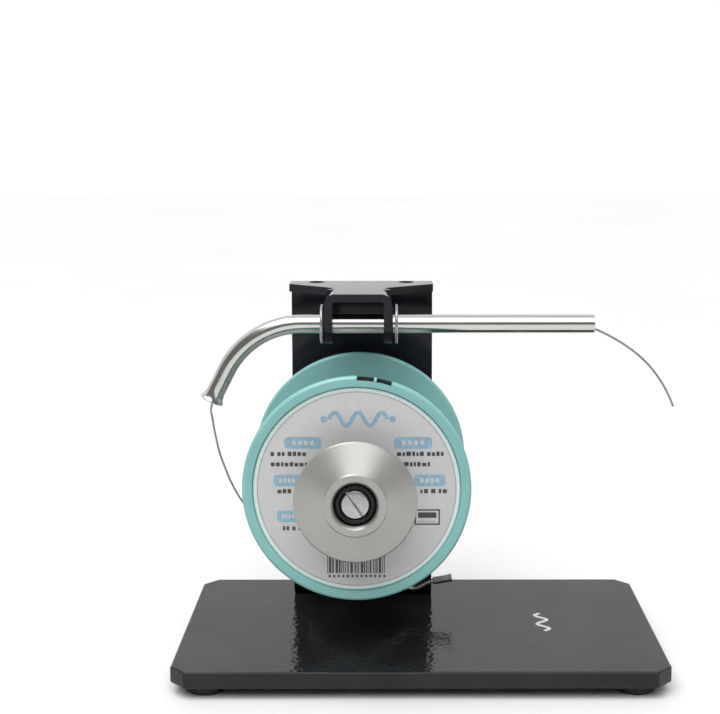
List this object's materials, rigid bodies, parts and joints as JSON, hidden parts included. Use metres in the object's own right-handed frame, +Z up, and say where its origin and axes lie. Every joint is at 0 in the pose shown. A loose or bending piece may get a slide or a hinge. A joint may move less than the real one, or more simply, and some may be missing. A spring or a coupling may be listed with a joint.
{
  "type": "bench solder wire dispenser",
  "caption": "Bench dispenser for solder wire: a spool on a fixed axle between centring cones, a bent guide tube above it, and a heavy plate base on rubber feet.",
  "frame": {"origin": "on the bench surface, under the middle of the dispenser's bounding box, measured without the solder wire", "axes": "+X to the right along the long side of the base, towards the guide tube's open end; -Y towards the front, where the spool's label faces; +Z up"},
  "size_m": [0.1811, 0.1002, 0.1372],
  "materials": {
    "base_coat": "semi-gloss textured black powder coat",
    "upright_coat": "satin black powder coat",
    "rubber_black": "matte moulded rubber",
    "spool_teal": "light teal moulded polystyrene, satin gloss",
    "label_stock": "light grey printed film",
    "cone_grey": "warm light grey moulded plastic, fine satin",
    "bush_black": "black acetal",
    "axle_steel": "turned steel",
    "tube_steel": "polished bright steel",
    "zinc_hardware": "zinc-plated steel",
    "spring_steel": "bright drawn spring wire",
    "solder_alloy": "drawn tin alloy wire, soft sheen"
  },
  "bodies": {
    "stand": {"base_plate": "base_coat", "foot_front_left": "rubber_black", "foot_front_right": "rubber_black", "foot_rear_left": "rubber_black", "foot_rear_right": "rubber_black", "upright_bracket": "upright_coat", "bracket_washer_left": "zinc_hardware", "bracket_washer_right": "zinc_hardware", "bracket_screw_left": "zinc_hardware", "bracket_screw_right": "zinc_hardware", "axle_shaft": "axle_steel", "axle_thrust_washer": "axle_steel", "axle_lock_washer": "zinc_hardware", "axle_nut": "zinc_hardware", "tube_grommet_left": "rubber_black", "tube_grommet_right": "rubber_black", "brake_pivot_bush": "bush_black", "brake_torsion_spring": "spring_steel"},
    "spool_rotor": {"spool_flange_front": "spool_teal", "spool_flange_rear": "spool_teal", "spool_core": "spool_teal", "spool_label": "label_stock", "solder_winding": "solder_alloy", "rear_cone": "cone_grey", "rear_cone_bush": "bush_black"},
    "front_cone_body": {"front_cone": "cone_grey", "front_cone_bush": "bush_black", "front_cone_grip_ring": "rubber_black"},
    "guide_tube_body": {"guide_tube": "tube_steel", "tube_ring_left": "zinc_hardware", "tube_ring_right": "zinc_hardware", "solder_wire": "solder_alloy"},
    "brake_body": {"brake_arm": "spring_steel", "brake_pad": "rubber_black", "brake_ferrule": "zinc_hardware", "brake_clip": "zinc_hardware"}
  },
  "joints": [
    {"name": "spool_spin", "type": "hinge", "parent": "stand", "child": "spool_rotor", "pos_m": [-0.0224, 0, 0.0715], "axis": [0, 1, 0], "continuous": true},
    {"name": "front_cone_pull", "type": "slide", "parent": "spool_rotor", "child": "front_cone_body", "axis": [0, -1, 0], "range_m": [0, 0.024]},
    {"name": "tube_turn", "type": "hinge", "parent": "stand", "child": "guide_tube_body", "pos_m": [0, -0.00275, 0.1255], "axis": [1, 0, 0], "range_deg": [-25, 25], "deforming": ["solder_wire"]},
    {"name": "brake_swing", "type": "hinge", "parent": "stand", "child": "brake_body", "pos_m": [-0.041, 0, 0.0225], "axis": [0, 1, 0], "range_deg": [0, 8], "stiffness_Nm_per_rad": 0.02, "springref_deg": -17.19, "deforming": ["brake_torsion_spring"]}
  ]
}
